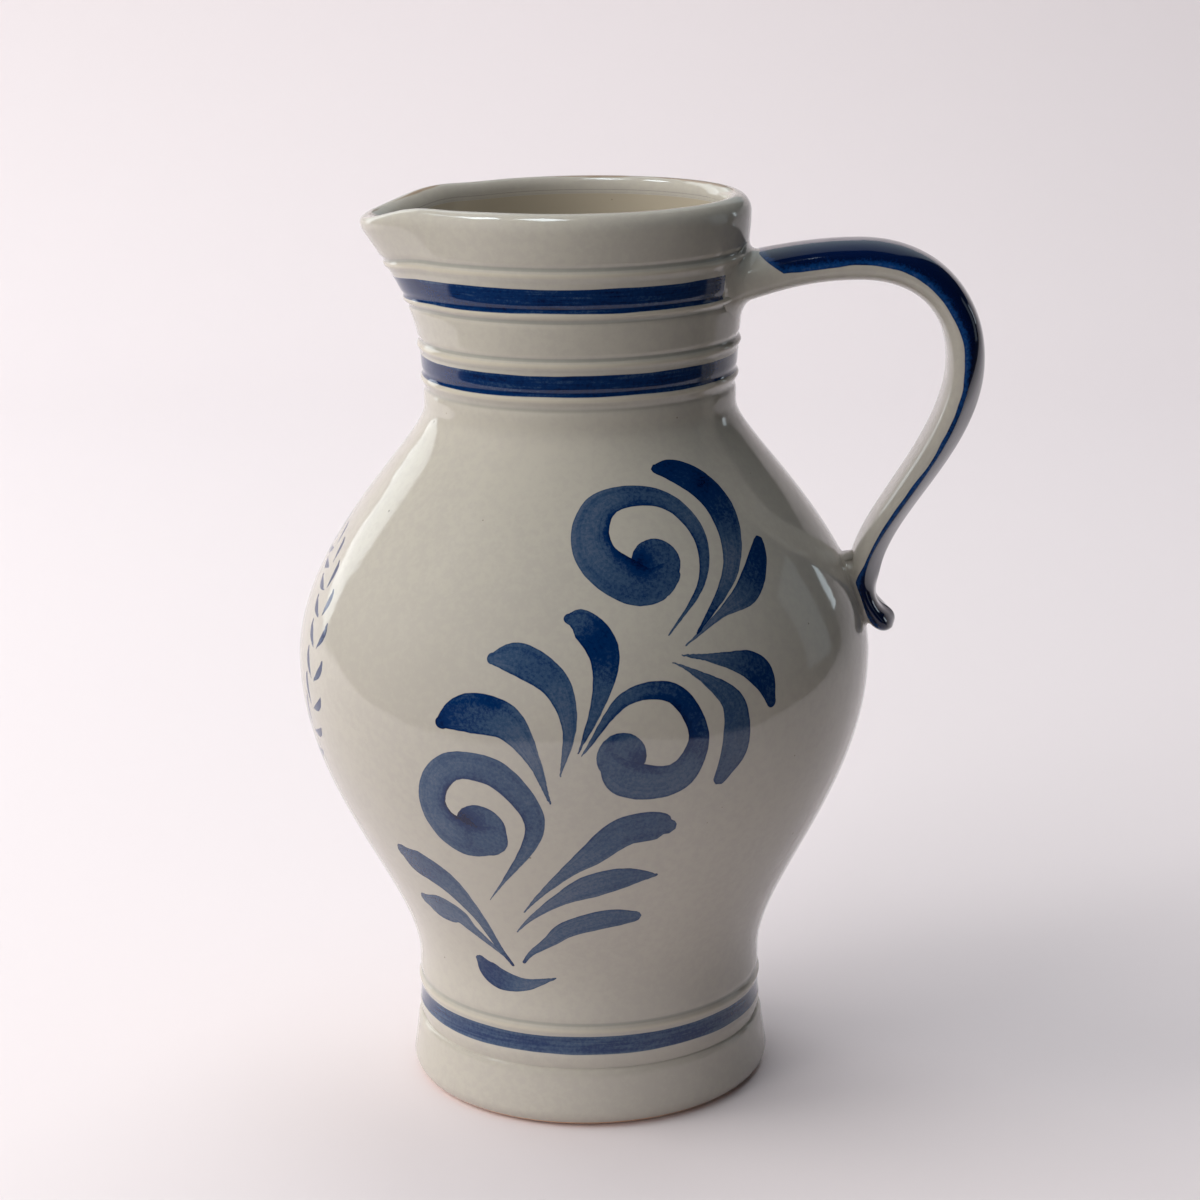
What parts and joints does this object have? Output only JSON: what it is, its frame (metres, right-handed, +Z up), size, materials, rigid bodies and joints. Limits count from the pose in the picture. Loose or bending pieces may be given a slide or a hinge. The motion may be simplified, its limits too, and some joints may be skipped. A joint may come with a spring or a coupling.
{
  "type": "jug",
  "caption": "Pot-bellied stoneware pouring jug with a turned foot and neck, a pulled lip opposite a luted strap handle, and blue brush scrolls on grey glaze.",
  "frame": {"origin": "centre of the flat foot", "axes": "+Z up along the axis of the thrown pot, +X towards the handle, -X towards the pouring lip"},
  "size_m": [0.1895, 0.1588, 0.25],
  "materials": {
    "grey_glaze": "glossy clear glaze over grey stoneware",
    "blue_glaze": "glossy clear glaze over cobalt blue"
  },
  "bodies": {
    "root": {"vessel_body": "grey_glaze", "handle": "blue_glaze", "handle_upper_slip": "grey_glaze", "handle_lower_slip": "grey_glaze"}
  },
  "joints": []
}
